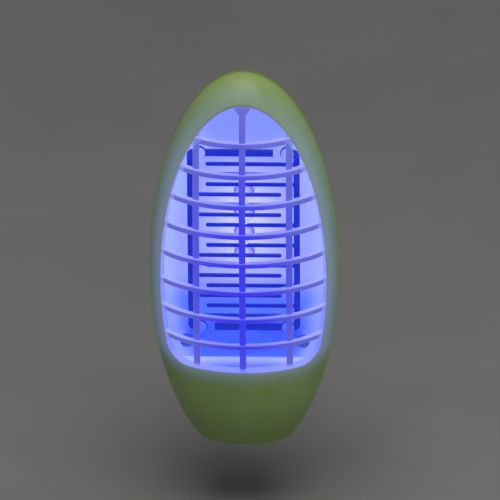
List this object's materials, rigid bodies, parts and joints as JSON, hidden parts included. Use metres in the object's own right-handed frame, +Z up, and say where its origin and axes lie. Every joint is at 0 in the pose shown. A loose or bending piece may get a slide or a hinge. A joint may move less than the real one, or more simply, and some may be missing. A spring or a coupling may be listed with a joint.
{
  "type": "electric bug zapper",
  "caption": "Plug-in ovoid insect zapper: bowed grille, interleaved high-voltage combs, UV lamps on a white panel, and a pull-down collection tray.",
  "frame": {"origin": "centre of the plug's end face, midway between the two pins", "axes": "+Y into the wall along the pins, so the grille looks along -Y; +Z up; +X to the viewer's right"},
  "size_m": [0.056, 0.0719, 0.117],
  "materials": {
    "housing_plastic": "satin, translucent",
    "panel_plastic": "matt",
    "comb_steel": "satin",
    "lamp_lens": "clear",
    "pin_nickel": "bright",
    "sleeve_plastic": "matt",
    "retainer_plastic": "matt",
    "board_laminate": "matt",
    "film_case": "gloss",
    "electrolytic_sleeve": "gloss",
    "diode_epoxy": "matt",
    "resistor_lacquer": "gloss",
    "fuse_ceramic": "matt",
    "tinned_wire": "bright",
    "live_insulation": "matt",
    "neutral_insulation": "matt",
    "screw_steel": "bright"
  },
  "bodies": {
    "housing": {"front_cover": "housing_plastic", "rear_cover": "housing_plastic", "tray_guide": "panel_plastic", "reflector_panel": "panel_plastic", "electrode_left": "comb_steel", "electrode_right": "comb_steel", "led_1": "lamp_lens", "led_2": "lamp_lens", "led_3": "lamp_lens", "led_4": "lamp_lens", "led_legs": "tinned_wire", "component_legs": "tinned_wire", "hv_lead_left": "tinned_wire", "hv_lead_right": "tinned_wire", "plug_pin_left": "pin_nickel", "plug_pin_right": "pin_nickel", "pin_sleeve_left": "sleeve_plastic", "pin_sleeve_right": "sleeve_plastic", "pin_retainer": "retainer_plastic", "main_board": "board_laminate", "film_capacitors": "film_case", "electrolytic_capacitor": "electrolytic_sleeve", "diodes": "diode_epoxy", "resistors": "resistor_lacquer", "fuse_resistor": "fuse_ceramic", "live_lead": "live_insulation", "neutral_lead": "neutral_insulation", "retainer_screw": "screw_steel", "housing_screws": "screw_steel", "panel_screws": "screw_steel", "board_screws": "screw_steel"},
    "tray": {"collection_tray": "housing_plastic"}
  },
  "joints": [
    {"name": "tray_slide", "type": "slide", "parent": "housing", "child": "tray", "axis": [0, 0, -1], "range_m": [0, 0.0165]}
  ]
}
